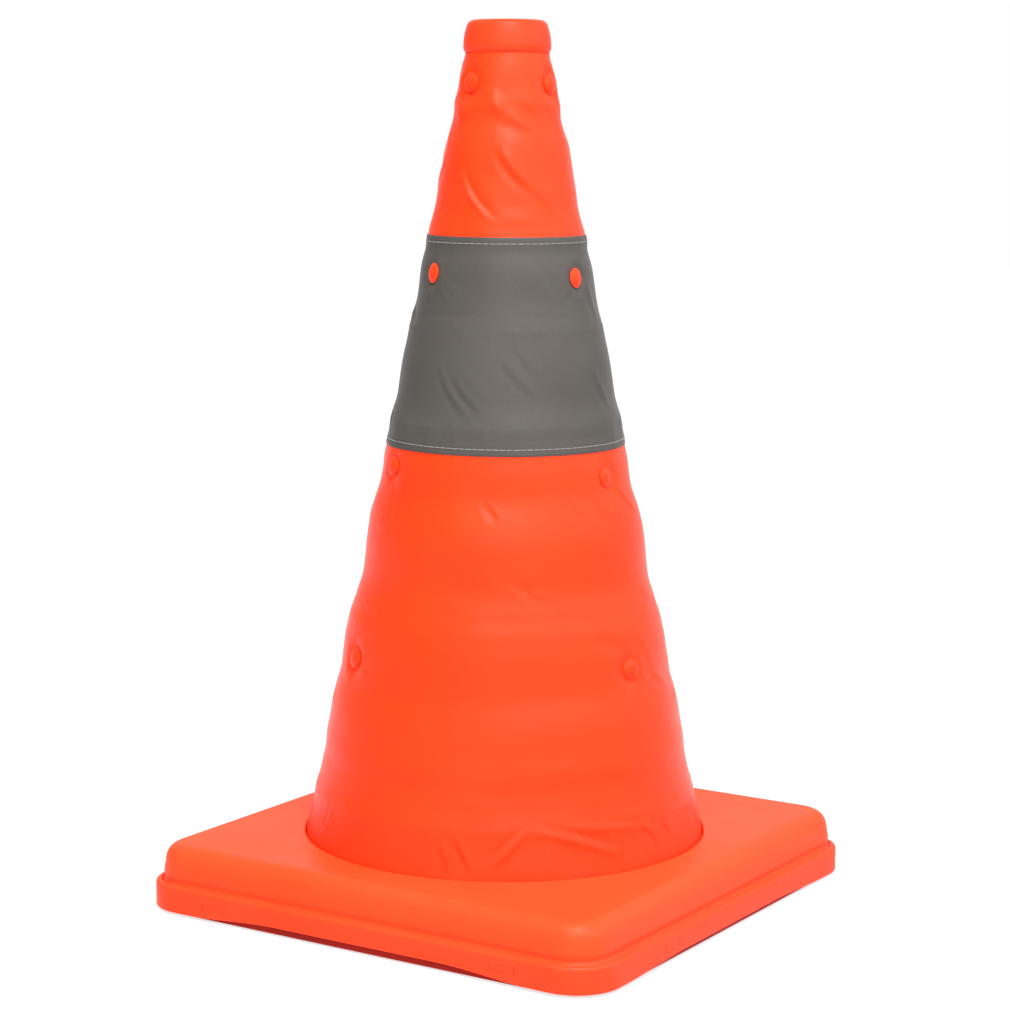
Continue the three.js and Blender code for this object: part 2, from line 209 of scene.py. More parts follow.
def add_bump(tree, shader, layers):
    """Bumps one on the other: each layer is a height and its distance in millimetres."""
    normal = None
    for height, distance in layers:
        inputs = {"Height": height, "Distance": distance * MM, "Strength": 1.0}
        if normal is not None:
            inputs["Normal"] = normal
        normal = add_node(tree, "ShaderNodeBump", inputs).outputs["Normal"]
    tree.links.new(normal, shader.inputs["Normal"])


def weave(tree, pitch):
    """Height of a plain weave on the cloth's own map, which is in metres."""
    uv = add_node(tree, "ShaderNodeTexCoord").outputs["UV"]
    parts = add_node(tree, "ShaderNodeSeparateXYZ", {"Vector": uv})
    waves = []
    for axis in "XY":
        turns = 2 * math.pi / (pitch * MM)
        angle = add_node(tree, "ShaderNodeMath", {0: parts.outputs[axis], 1: turns}, operation="MULTIPLY")
        waves.append(add_node(tree, "ShaderNodeMath", {0: angle.outputs[0]}, operation="SINE").outputs[0])
    return uv, add_node(tree, "ShaderNodeMath", {0: waves[0], 1: waves[1]}, operation="MULTIPLY").outputs[0]


def coated_fabric(name, dark, light, roughness, pitch, bump, specular):
    material, tree, shader = new_material(name, light, roughness, specular)
    uv, threads = weave(tree, pitch)
    slubs = blotches(tree, uv, 900, 3)
    soil = blotches(tree, uv, 14, 4)
    mix = add_node(tree, "ShaderNodeMath", {0: soil, 1: slubs}, operation="ADD").outputs[0]
    tree.links.new(tint(tree, remap(tree, mix, 0.75, 1.25, 0, 1), dark, light), shader.inputs["Base Color"])
    dulled = remap(tree, soil, 0.3, 0.7, roughness - 0.06, roughness + 0.06)
    tree.links.new(dulled, shader.inputs["Roughness"])
    shader.inputs["Sheen Weight"].default_value = 0.01
    shader.inputs["Sheen Roughness"].default_value = 0.4
    shader.inputs["Sheen Tint"].default_value = (1, 0.4, 0.2, 1)
    add_bump(tree, shader, [(threads, bump), (slubs, bump * 0.8)])
    return material


def moulded_plastic(name, dark, light, roughness, grain, edge_scuff_and_highlight):
    """Plastic with a fine moulded grain, slight flow marks and paler convex edges: partly scuffs, partly a
    painted highlight.
    """
    material, tree, shader = new_material(name, light, roughness, 0.09)
    place = add_node(tree, "ShaderNodeTexCoord").outputs["Object"]
    fine = blotches(tree, place, 1500, 2)
    flow = blotches(tree, place, 16, 3)
    edges = add_node(tree, "ShaderNodeNewGeometry").outputs["Pointiness"]
    # Convex edges painted paler: partly scuffs, partly a painted highlight.
    scuff_and_highlight_mask = remap(tree, edges, 0.51, 0.56, 0, edge_scuff_and_highlight)
    base = tint(tree, remap(tree, flow, 0.35, 0.65, 0, 1), dark, light)
    scuff_and_highlight_mix = add_node(tree, "ShaderNodeMix", {"Factor": scuff_and_highlight_mask}, data_type="RGBA")
    tree.links.new(base, scuff_and_highlight_mix.inputs["A"])
    scuff_and_highlight_mix.inputs["B"].default_value = (min(light[0] * 1.05, 1), light[1] * 1.6, light[2] * 2.0, 1)
    tree.links.new(scuff_and_highlight_mix.outputs["Result"], shader.inputs["Base Color"])
    dulled = remap(tree, flow, 0.3, 0.7, roughness - 0.05, roughness + 0.07)
    tree.links.new(dulled, shader.inputs["Roughness"])
    add_bump(tree, shader, [(fine, grain), (flow, 0.08)])
    return material


def screw_steel():
    material, tree, shader = new_material("screw_steel", (0.56, 0.57, 0.59), 0.32)
    shader.inputs["Metallic"].default_value = 1
    place = add_node(tree, "ShaderNodeTexCoord").outputs["Object"]
    scratches = blotches(tree, place, 2400, 4)
    tree.links.new(remap(tree, scratches, 0.3, 0.7, 0.25, 0.45), shader.inputs["Roughness"])
    add_bump(tree, shader, [(scratches, 0.01)])
    return material


def foot_rubber():
    material, tree, shader = new_material("foot_rubber", (0.025, 0.025, 0.027), 0.8, 0.3)
    place = add_node(tree, "ShaderNodeTexCoord").outputs["Object"]
    dust = blotches(tree, place, 120, 4)
    tone = tint(tree, remap(tree, dust, 0.45, 0.75, 0, 1), (0.02, 0.02, 0.022), (0.06, 0.057, 0.054))
    tree.links.new(tone, shader.inputs["Base Color"])
    add_bump(tree, shader, [(blotches(tree, place, 1800, 3), 0.04)])
    return material


def sewing_thread():
    material, tree, shader = new_material("sewing_thread", (0.2, 0.185, 0.18), 0.6, 0.2)
    place = add_node(tree, "ShaderNodeTexCoord").outputs["Object"]
    twist = blotches(tree, place, 3000, 2)
    tone = tint(tree, twist, (0.16, 0.145, 0.14), (0.25, 0.235, 0.225))
    tree.links.new(tone, shader.inputs["Base Color"])
    return material


# A fabric's dark and light tone, roughness, weave pitch and depth in millimetres, and specular level.
FABRICS = {
    "sleeve_fabric": ((0.97, 0.035, 0.0055), (1.0, 0.041, 0.007), 0.32, 0.7, 0.02, 0.085),
    "band_fabric": ((0.060, 0.054, 0.049), (0.070, 0.064, 0.058), 0.34, 0.5, 0.012, 0.062),
}
# A plastic's dark and light tone, roughness, grain depth in millimetres, and how much paler its convex
# edges are painted, partly as scuffs and partly as a painted highlight.
PLASTICS = {
    "shell_plastic": ((0.98, 0.053, 0.011), (1.0, 0.059, 0.014), 0.42, 0.03, 0.35),
    "tray_plastic": ((0.97, 0.044, 0.010), (1.0, 0.050, 0.013), 0.42, 0.03, 0.35),
    "snap_plastic": ((0.97, 0.044, 0.010), (1.0, 0.050, 0.013), 0.42, 0.03, 0),
    # the tray's underside: a dark tone that paints the shade under the rim
    "tray_underside_painted_shade": ((0.27, 0.009, 0.004), (0.31, 0.012, 0.006), 0.6, 0.03, 0.35),
    "ring_plastic": ((0.85, 0.042, 0.008), (0.9, 0.048, 0.01), 0.5, 0.03, 0.35),
    "cap_plastic": ((0.95, 0.036, 0.008), (1.0, 0.042, 0.010), 0.38, 0.03, 0.35),
    "rivet_plastic": ((0.97, 0.034, 0.005), (1.0, 0.040, 0.007), 0.3, 0.012, 0.35),
}
MATERIALS = {name: coated_fabric(name, *look) for name, look in FABRICS.items()}
MATERIALS.update((name, moulded_plastic(name, *look)) for name, look in PLASTICS.items())
MATERIALS["foot_rubber"] = foot_rubber()
MATERIALS["screw_steel"] = screw_steel()
MATERIALS["thread"] = sewing_thread()


# ---- Mesh helpers ----

def make_object(name, points, faces, materials, smooth=True):
    mesh = bpy.data.meshes.new(name)
    mesh.from_pydata((np.asarray(points) * MM).tolist(), [], faces)
    for key in materials:
        mesh.materials.append(MATERIALS[key])
    mesh.polygons.foreach_set("use_smooth", [smooth] * len(mesh.polygons))
    mesh.update()
    thing = bpy.data.objects.new(name, mesh)
    bpy.context.scene.collection.objects.link(thing)
    return thing


def loop_faces(rows, columns, closed_rows=False, first=0):
    """Quads of a grid of loops whose points run anticlockwise, each loop above the last."""
    faces = []
    for row in range(rows if closed_rows else rows - 1):
        here = first + row * columns
        above = first + ((row + 1) % rows) * columns
        for column in range(columns):
            beside = (column + 1) % columns
            faces.append((here + column, here + beside, above + beside, above + column))
    return faces


def arc(centre, radius, start, end, steps):
    """Points of an arc in (radius, height), with angles in degrees."""
    return [
        (centre[0] + radius * math.cos(math.radians(start + (end - start) * i / steps)),
         centre[1] + radius * math.sin(math.radians(start + (end - start) * i / steps)))
        for i in range(steps + 1)
    ]


def revolved(profile, segments):
    """Points and faces of a turned body; the profile starts and ends on the axis or closes on itself."""
    on_axis = profile[0][0] == 0
    rings = profile[1:-1] if on_axis else profile
    turn = np.arange(segments) * 2 * math.pi / segments
    points = [
        (radius * math.cos(a), radius * math.sin(a), z) for radius, z in rings for a in turn
    ]
    faces = loop_faces(len(rings), segments, closed_rows=not on_axis)
    if on_axis:
        bottom, top = len(points), len(points) + 1
        points += [(0, 0, profile[0][1]), (0, 0, profile[-1][1])]
        last = (len(rings) - 1) * segments
        for i in range(segments):
            j = (i + 1) % segments
            faces.append((bottom, j, i))
            faces.append((top, last + i, last + j))
    return np.array(points), faces


def finish_edges(thing, angle=38):
    """Keeps real corners crisp while rounded ones shade smoothly."""
    thing.data.set_sharp_from_angle(angle=math.radians(angle))
    return thing


def apply_modifiers(thing):
    shaped = thing.evaluated_get(bpy.context.evaluated_depsgraph_get())
    applied = bpy.data.meshes.new_from_object(shaped)
    thing.modifiers.clear()
    thing.data = applied


def combine(thing, cutter, operation):
    modifier = thing.modifiers.new("combine", "BOOLEAN")
    modifier.operation = operation
    modifier.solver = "EXACT"
    modifier.object = cutter
    apply_modifiers(thing)
    bpy.data.objects.remove(cutter)


def rounded_box(name, centre, size, radius, materials):
    """A box whose faces take the last of its materials."""
    x, y, z = (s / 2 for s in size)
    corners = [(sx * x, sy * y, sz * z) for sz in (-1, 1) for sy in (-1, 1) for sx in (-1, 1)]
    faces = [(0, 2, 3, 1), (4, 5, 7, 6), (0, 1, 5, 4), (2, 6, 7, 3), (0, 4, 6, 2), (1, 3, 7, 5)]
    block = make_object(name, np.array(corners) + np.array(centre), faces, materials)
    block.data.polygons.foreach_set("material_index", [len(materials) - 1] * len(faces))
    if radius:
        bevel = block.modifiers.new("bevel", "BEVEL")
        bevel.width = radius * MM
        bevel.segments = 3
        apply_modifiers(block)
    return block


def stands_for(thing, body, slot, *nodes):
    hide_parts(*nodes)
    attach(thing, body)
    return thing


# ---- Rivets' places ----

RIVET_HEAD = 5.0
RIVET_DOME = 1.9
RIVET_SHANK = 2.0
RIVET_RISE = {"1": 0.7, "3": 0.35, "5": 0.5, "7": 1.1}    # cloth gathered under a head holds it off


def rivet_axis(node):
    """Tip lifted by the rise, outward direction and length of a rivet, from its CAD solid's axis."""
    points = cad_points(node)
    middle = points.mean(0)
    spread, axes = np.linalg.eigh(np.cov((points - middle).T))
    odd = 0 if abs(spread[0] - spread[1]) > abs(spread[1] - spread[2]) else 2
    axis = axes[:, odd]
    axis = axis * np.sign(axis @ np.array([middle[0], middle[1], 0]))
    reach = (points - middle) @ axis
    rise = RIVET_RISE[node[-2]]
    return middle + axis * (reach.max() + rise), axis, reach.max() + rise - reach.min()


RIVETS = {
    name: rivet_axis(f"rivet_{name}") for name in (f"{k}{side}" for k in (1, 3, 5, 7) for side in "abc")
}


# ---- The sleeve's surface ----

def ring_line(z, allowance):
    """Radius of the line through the rings' top edges, with an allowance for the cloth."""
    return RING_RADIUS[COLLAR] + allowance - LINE_SLOPE * (z - RING_TOP[COLLAR])


EDGE_ALLOWANCE = 0.95          # how far the cloth stands off the line through the rings' edges
# How far the cloth is drawn in above the foot of each ring, and how far it swells below its top.
WAIST = {8: 0.9, 7: 1.5, 6: 2.1, 5: 1.6, 4: 1.1, 3: 1.3, 2: 1.0, 1: 1.2}
BULGE = {8: 0.45, 7: 0.75, 6: 0.45, 5: 0.35, 4: 0.25, 3: 0.35, 2: 0.45, 1: 0.3}

# Where the sleeve stands out more, or is drawn in by the band's tight seams: its height, the
# half height of the stretch and how far out it goes there.
SWELLINGS = [
    (432, 3.0, -0.5), (408, 6.0, 1.4), (420, 6.0, 0.4), (364, 7, 0.35), (BAND_TOP - 7, 6.5, -1.1),
    (294, 13, -0.75), (257, 7, -0.6), (BAND_BOTTOM + 4, 9.5, -1.45), (156, 6.5, -0.75),
    (137, 5.5, 0.5), (126, 10.5, 1.1), (84, 7.0, 0.6),
]


def swell_curve():
    """How far the sleeve stands off the ring line at each height: in above a ring, out below the next."""
    gathers = ((36, -0.1), (28, -0.25), (20, -0.55), (12, -0.5), (4, 0.1))
    below = [(RING_TOP[COLLAR] - drop, out) for drop, out in gathers]
    points = [*below, (RING_TOP[COLLAR], -0.4), (RING_TOP[COLLAR] + 4, -0.75)]
    for k in range(8, 0, -1):
        foot = RING_TOP[k + 1]
        waist = WAIST[k]
        if k < 8:
            points += [(foot, 0.15), (foot + 4, -0.35)]
        points += [
            (foot + 9, -0.8 * waist), (foot + 13, -waist), (foot + 18, -0.85 * waist),
            (foot + 27, -0.3 * waist), (foot + 34, 0.4 * BULGE[k]), (foot + 41, BULGE[k]),
        ]
    heights, offsets = zip(*sorted(points))
    fine = np.arange(20, 445, 0.25)
    raw = np.interp(fine, heights, offsets)
    kernel = np.exp(-0.5 * (np.arange(-16, 17) * 0.25 / 1.5) ** 2)
    smooth = np.convolve(np.pad(raw, 16, mode="edge"), kernel / kernel.sum(), mode="valid")
    for height, half, out in SWELLINGS:
        smooth += out * np.exp(-((fine - height) / half) ** 2)
    return fine, smooth


SWELL_HEIGHTS, SWELL = swell_curve()


def ripple(turn, seed, orders=(2, 3, 5, 7)):
    """A smooth random wave round the cone, between about -1 and 1."""
    chance = random.Random(seed)
    total = np.zeros_like(turn)
    for order in orders:
        total += np.cos(order * turn + chance.uniform(0, 2 * math.pi)) * chance.uniform(0.5, 1)
    return total / (0.6 * len(orders))


def wrapped(turn):
    return (turn + math.pi) % (2 * math.pi) - math.pi


# A fold is (angle, height) at its start and end, how far it bows aside, its half width, its
# height, and its hollow beside it as a share of that height, on the left of its run if negative.
# Angles are in degrees from the side that the camera faces; all else is in millimetres.
FOLDS = [
    # between the cap and the band
    ((-17, 414), (-2, 402), -1.0, 3.0, 1.05, 0.5),
    ((-5, 403), (32, 395), 1.0, 3.2, 1.0, -0.7),
    ((10, 410), (44, 393), -1.5, 2.8, -0.85, 0.3),
    ((-6, 387), (24, 366), -1.2, 2.4, 1.15, -0.9),
    ((22, 369), (44, 353), 0.6, 3.2, 0.65, -0.5),
    ((-44, 376), (-10, 350), -2.2, 1.7, 1.1, 0.6),
    ((-14, 353), (40, 353), -1.0, 4.0, 0.6, -0.3),
    ((30, 392), (56, 374), 1.0, 3.0, 0.4, -0.5),
    ((-62, 404), (-36, 389), -1.0, 3.4, 0.4, 0.4),
    # the band
    ((-68, 303), (-4, 304.5), 0.4, 1.5, -0.32, 0.3),
    ((0, 305), (52, 303), -0.5, 1.8, -0.22, 0.3),
    ((-38, 280), (-18, 255), -2.0, 1.8, 0.5, -0.7),
    ((-28, 275), (-12, 258), -1.2, 1.7, 0.4, -0.7),
    ((-2, 284), (15, 267), -0.8, 2.0, 0.4, -0.6),
    ((2, 289), (13, 274), 0.6, 1.8, -0.35, 0.3),
    ((54, 279), (68, 257), -0.8, 2.2, 0.5, -0.6),
    ((62, 322), (74, 300), 0.8, 2.6, 0.45, -0.5),
    # below the band
    ((-9, 212), (-4, 204), 0.2, 1.8, -0.75, 0.6),
    ((-13, 213), (-7, 202), 0.4, 2.2, 0.35, 0.0),
    ((28, 217), (41, 203), -1.2, 2.2, 0.45, -0.5),
    ((42, 219), (56, 200), -1.4, 2.2, 0.5, -0.5),
    ((60, 222), (74, 205), -1.2, 2.2, 0.5, -0.5),
    ((2, 172), (9, 165), 0.2, 2.0, 0.4, 0.5),
    ((10, 171), (17, 167), 0.2, 1.8, 0.35, 0.5),
    ((-20, 186), (4, 166), 1.5, 5.0, 0.3, -0.4),
    ((34, 146), (50, 138), -0.8, 3.2, -0.55, 0.3),
    ((50, 150), (64, 128), 1.2, 2.6, 0.45, -0.5),
    ((60, 127), (74, 116), -0.6, 2.4, 0.5, -0.5),
    ((-8, 176), (20, 138), 3.0, 6.0, 0.25, -0.3),
    # gathered into the base
    ((6, 57), (-4, 40), 0.6, 1.8, 0.85, -0.7),
    ((8, 57), (34, 42), 1.2, 1.9, 0.85, 0.7),
    ((16, 58), (56, 49), 0.8, 1.8, 0.5, 0.6),
    ((-14, 54), (-9, 37), 0.4, 1.5, 0.75, -0.8),
    ((-19, 53), (-15, 36), 0.4, 1.6, 0.55, -0.7),
    ((42, 57), (50, 44), 0.3, 1.6, 0.6, -0.7),
    ((52, 56), (58, 43), 0.3, 1.6, 0.6, -0.7),
    ((-62, 55), (-66, 38), 0.3, 1.6, 0.5, -0.7),
]


def random_folds():
    """Smaller folds all round: stars about the rivets, drapes in the bays and gathers at the base."""
    chance = random.Random(57)
    folds = []

    def quieter(angle):
        return 0.35 if abs(wrapped(math.radians(angle))) < math.radians(78) else 1.0

    def fold(angle, height, direction, length, bow, width, rise, hollow):
        radius = ring_line(height, 0)
        run = math.degrees(length * math.cos(direction) / radius)
        end = (angle + run, height + length * math.sin(direction))
        folds.append(((angle, height), end, bow, width, rise * quieter(angle), hollow))

    for tip, _, _ in RIVETS.values():
        angle = math.degrees(math.atan2(tip[1], tip[0]) - VIEW_AZIMUTH)
        for i in range(6):
            direction = math.radians(i * 60 + chance.uniform(10, 50))
            start = 6.5
            radius = math.hypot(tip[0], tip[1])
            away = math.degrees(start * math.cos(direction) / radius)
            fold(angle + away, tip[2] + start * math.sin(direction), direction, chance.uniform(9, 17),
                 chance.uniform(-0.8, 0.8), chance.uniform(1.4, 2.0), chance.uniform(0.3, 0.5), 0.7)
    for k in range(1, 9):
        for i in range(9):
            angle = 40 * i + chance.uniform(0, 34)
            height = RING_TOP[k + 1] + chance.uniform(8, 40)
            direction = math.radians(chance.choice((-1, 1)) * chance.uniform(25, 65))
            fold(angle, min(height, 425), direction, chance.uniform(16, 34), chance.uniform(-2.5, 2.5),
                 chance.uniform(2.4, 4.5), chance.uniform(0.3, 0.65), chance.choice((-0.6, 0.6)))
        for i in range(14):
            angle = 26 * i + chance.uniform(0, 22)
            height = RING_TOP[k + 1] + chance.uniform(1, 5)
            direction = math.radians(-90 + chance.uniform(-28, 28))
            fold(angle, height, direction, chance.uniform(7, 13), 0.3, chance.uniform(1.4, 2.4),
                 chance.uniform(0.2, 0.4), 0.5)
    for i in range(46):
        angle = 8 * i + chance.uniform(0, 7)
        direction = math.radians(-90 + chance.uniform(-24, 24))
        fold(angle, RING_TOP[COLLAR] - chance.uniform(3, 9), direction, chance.uniform(14, 22), 0.4,
             chance.uniform(1.3, 2.1), chance.uniform(0.45, 0.85), chance.choice((-0.7, 0.7)))
    for edge in (BAND_TOP, BAND_BOTTOM):
        for i in range(40):
            angle = 9 * i + chance.uniform(0, 6)
            direction = math.radians(-90 + chance.uniform(-12, 12))
            fold(angle, edge + 4, direction, chance.uniform(6, 10), 0.2,
                 1.5, chance.uniform(0.12, 0.3), 0.5)
    return folds


ALL_FOLDS = FOLDS + random_folds()


def fold_relief(turn, z):
    """Sum of all folds at flat arrays of angles and heights."""
    relief = np.zeros_like(z)
    for (angle, height), (end_angle, end_height), bow, width, rise, hollow in ALL_FOLDS:
        middle = VIEW_AZIMUTH + math.radians((angle + end_angle) / 2)
        radius = ring_line((height + end_height) / 2, 0)
        run = radius * math.radians(end_angle - angle)
        climb = end_height - height
        length = math.hypot(run, climb)
        reach = length / 2 + 4 * width + abs(bow)
        x = wrapped(turn - middle) * radius
        y = z - (height + end_height) / 2
        near = np.flatnonzero((np.abs(x) < reach) & (np.abs(y) < reach))
        if near.size == 0:
            continue
        across_x, across_y = -climb / length, run / length
        along = (x[near] * run + y[near] * climb) / length ** 2 + 0.5
        inside = np.clip(along, 0, 1)
        aside = x[near] * across_x + y[near] * across_y - bow * 4 * inside * (1 - inside)
        beyond = np.maximum(np.abs(along - 0.5) - 0.5, 0) * length
        taper = np.sin(math.pi * np.clip(along, 0.02, 0.98)) ** 0.7 * np.exp(-(beyond / width) ** 2)
        ridge = np.exp(-(aside / width) ** 2)
        side = math.copysign(1.7, hollow) * width
        trough = abs(hollow) * np.exp(-((aside - side) / (0.95 * width)) ** 2)
        relief[near] += rise * taper * (ridge - trough)
    return relief


def wall_radius(turn, z):
    """The faceted walls of the rings and the collar, and their top edges."""
    facet = 2 * math.pi / RING_FACETS
    off = (turn + facet / 2) % facet - facet / 2
    flat = math.cos(facet / 2) / np.cos(off)
    wall = np.zeros_like(z)
    for k, top in RING_TOP.items():
        here = (z <= top + 0.3) & (z > (RING_TOP[k + 1] if k < COLLAR else 0))
        wall = np.where(here, (RING_RADIUS[k] + WALL_SLOPE * (top - z)) * flat, wall)
    return wall


def smooth_step(value):
    value = np.clip(value, 0, 1)
    return value * value * (3 - 2 * value)


CLOTH = 0.5                    # the sleeve's thickness
BAND_LIFT = 0.12               # the gap between the sleeve and the band
BAND_CLOTH = 0.42              # the band's thickness
LAP_HALF = 4.5                 # the sewn seam: the cloth's ends lie one over the other
LAP_RISE = 0.5


def seam_lap(turn, z):
    aside = wrapped(turn - SEAM_AZIMUTH) * ring_line(z, 0)
    return LAP_RISE * smooth_step((aside + LAP_HALF) / 0.9) * smooth_step((LAP_HALF - aside) / 3.0)


def sleeve_radius(turn, z):
    """Radius of the sleeve's outer surface at arrays of angles and heights of one shape."""
    shape = z.shape
    turn, z = turn.ravel(), z.ravel()
    shift = 1.6 * ripple(turn, 11) + 0.9 * np.sin(z / 23.0 + 2 * turn)
    depth = 1 + 0.28 * ripple(turn, 12) * np.cos(z / 31.0)
    swell = np.interp(z + shift * smooth_step((z - 66) / 12), SWELL_HEIGHTS, SWELL) * depth
    loose = smooth_step((RING_TOP[1] - 6 - z) / 14) * smooth_step((z - 30) / 10)
    sway = 0.3 * ripple(turn, 13, (3, 4, 6, 9)) * np.sin(z / 17.0)
    sway += 0.22 * ripple(turn, 14, (5, 8, 11)) * np.cos(z / 11.0)
    radius = ring_line(z, EDGE_ALLOWANCE) + swell + (sway + fold_relief(turn, z)) * loose
    least = wall_radius(turn, z) + CLOTH + 0.12
    radius = least + np.logaddexp(0, (radius - least) * 5) / 5
    radius += seam_lap(turn, z)
    most = OPENING_RADIUS - 0.5 + 200 * smooth_step((z - SHELL_TOP - 2) / 20)
    radius = most - np.logaddexp(0, (most - radius) * 5) / 5
    for name, (tip, axis, _) in RIVETS.items():
        under_band = name.startswith("3")
        clear = 0.15 + (BAND_LIFT + BAND_CLOTH if under_band else 0)
        seat = tip - axis * (RIVET_DOME + clear)
        centre = math.atan2(tip[1], tip[0])
        distance = np.hypot(wrapped(turn - centre) * math.hypot(tip[0], tip[1]), z - tip[2])
        near = distance < 13
        facing = axis[0] * np.cos(turn[near]) + axis[1] * np.sin(turn[near])
        plane = (seat @ axis - z[near] * axis[2]) / facing
        held = 1 - smooth_step((distance[near] - 5.2) / (4.5 if under_band else 7.5))
        radius[near] += (plane - radius[near]) * held
        if not under_band:
            past = (np.abs(z[near] - tip[2]) - RIVET_HEAD - 0.5) / 1.5
            aside = wrapped(turn[near] - centre) * math.hypot(tip[0], tip[1]) / 2.2
            radius[near] -= 0.85 * RIVET_RISE[name[0]] * np.exp(-past ** 2 - aside ** 2)
    return radius.reshape(shape)


COLUMNS = 360


def sheet_grid(heights, offset):
    """Points and unit normals of a surface that stands off the sleeve by an offset at each height."""
    step = 1.35
    rows = np.concatenate([[heights[0] - step], heights, [heights[-1] + step]])
    angles = SEAM_AZIMUTH + np.arange(COLUMNS) * 2 * math.pi / COLUMNS
    turn, z = np.meshgrid(angles, rows)
    radius = sleeve_radius(turn, z) + np.interp(rows, heights, offset)[:, None]
    points = np.stack([radius * np.cos(turn), radius * np.sin(turn), z], 2)
    along = np.roll(points, -1, 1) - np.roll(points, 1, 1)
    up = np.gradient(points, axis=0)
    normals = np.cross(along, up)
    normals /= np.linalg.norm(normals, axis=2, keepdims=True)
    return points[1:-1], normals[1:-1]


def cloth_map(heights):
    """The cut cloth laid flat, in metres: the map of a cone's side, one column more than the grid has."""
    lean = math.atan(LINE_SLOPE)
    slant = ring_line(heights, 0) * MM / math.sin(lean)
    swing = (np.arange(COLUMNS + 1) / COLUMNS - 0.5) * 2 * math.pi * math.sin(lean)
    return np.stack([slant[:, None] * np.sin(swing), slant[:, None] * np.cos(swing)], 2)


def build_cloth(name, heights, lift, thickness, material, hem=None):
    """A closed thin tube of cloth: outer face, inner face and the two cut edges."""
    offset = np.full(len(heights), lift + thickness)
    if hem is not None:
        offset = offset + hem
    outer, normals = sheet_grid(heights, offset)
    inner = outer - normals * thickness
    rows = len(heights)
    count = rows * COLUMNS
    points = np.concatenate([outer.reshape(-1, 3), inner.reshape(-1, 3)])
    outside = loop_faces(rows, COLUMNS)
    inside = [tuple(reversed([i + count for i in face])) for face in outside]
    rims = []
    for column in range(COLUMNS):
        beside = (column + 1) % COLUMNS
        last = count - COLUMNS
        rims.append((column, count + column, count + beside, beside))
        rims.append((last + column, last + beside, count + last + beside, count + last + column))
    cloth = make_object(name, points, outside + inside + rims, [material])
    flat = cloth_map(heights)
    quad_rows, quad_columns = np.divmod(np.arange((rows - 1) * COLUMNS), COLUMNS)
    corners = [flat[quad_rows, quad_columns], flat[quad_rows, quad_columns + 1],
               flat[quad_rows + 1, quad_columns + 1], flat[quad_rows + 1, quad_columns]]
    sides = np.stack(corners, 1)
    edges = np.zeros((2 * COLUMNS, 4, 2))
    layer = cloth.data.uv_layers.new(name="cloth")
    layer.data.foreach_set("uv", np.concatenate([sides, sides[:, ::-1], edges]).ravel().astype(np.float32))
    shading = np.concatenate([normals.reshape(-1, 3), -normals.reshape(-1, 3)])
    cloth.data.normals_split_custom_set_from_vertices(shading.tolist())
    return cloth


def rows_between(start, end):
    return np.linspace(start, end, max(2, round((end - start) / 1.35) + 1))


# Where the sleeve is cut from one strip to the next: this far below each ring's top edge; the rivets stay
# past it.
SPLIT_BELOW_EDGE = 8.0


def bend_with_rings(cloth):
    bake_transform(cloth)


def split_height(k):
    return RING_TOP[k] - SPLIT_BELOW_EDGE


def build_sleeve():
    for k in range(8, 0, -1):
        bottom = SLEEVE_HEM if k == 8 else split_height(k + 1)
        top = CAP_BOTTOM - 0.08 if k == 1 else split_height(k)
        cloth = build_cloth(f"sleeve_{k}", rows_between(bottom, top), -CLOTH, CLOTH, "sleeve_fabric")
        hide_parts("sleeve")
        bend_with_rings(cloth)


HEM_WIDTH = 6.4                # the band's folded edge
STITCH_INSET = 3.3             # the stitches' distance from that edge


def band_hem(heights):
    """The band's folded edges stand a little prouder than its middle."""
    from_edge = np.minimum(BAND_TOP - heights, heights - BAND_BOTTOM)
    fold = smooth_step((HEM_WIDTH + 0.5 - from_edge) / 1.0) * 0.16
    return fold - 0.3 * np.exp(-(from_edge / 0.5) ** 2)


def build_band():
    middle = split_height(4)
    halves = (("band_lower", 4, BAND_BOTTOM, middle), ("band_upper", 3, middle, BAND_TOP))
    for name, k, bottom, top in halves:
        heights = rows_between(bottom, top)
        if name == "band_lower":
            heights = np.concatenate([[bottom, bottom + 0.3, bottom + 0.7], heights[1:]])
        else:
            heights = np.concatenate([heights[:-1], [top - 0.7, top - 0.3, top]])
        cloth = build_cloth(name, heights, BAND_LIFT, BAND_CLOTH, "band_fabric", band_hem(heights))
        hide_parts("grey_band")
        bend_with_rings(cloth)


def build_stitches(name, height, body):
    """One row of lock stitches round the band: short threads that dip into the cloth at both ends."""
    thread, pitch, sides, steps = 0.26, 3.5, 6, 8
    radius = ring_line(height, EDGE_ALLOWANCE)
    count = round(2 * math.pi * radius / pitch)
    reach = 0.99 * math.pi / count
    points, faces = [], []
    along = np.linspace(-1, 1, steps + 1)
    for i in range(count):
        turn = SEAM_AZIMUTH + (i + 0.5) * 2 * math.pi / count + along * reach
        surface = sleeve_radius(turn, np.full_like(turn, height)) + BAND_LIFT + BAND_CLOTH + 0.16
        thick = thread * np.sqrt(np.maximum(1 - along ** 8, 0.1))
        first = len(points)
        for a, r, t, s in zip(turn, surface, thick, along):
            for side in range(sides):
                roll = 2 * math.pi * side / sides
                out = r + 0.08 - 0.16 * s ** 8 + t * math.cos(roll)
                points.append((out * math.cos(a), out * math.sin(a), height - t * math.sin(roll)))
        faces += loop_faces(steps + 1, sides, first=first)
        faces.append(tuple(first + side for side in reversed(range(sides))))
        faces.append(tuple(first + steps * sides + side for side in range(sides)))
    row = make_object(name, points, faces, ["thread"])
    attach(row, body)


# ---- Rivets, cap and feet ----

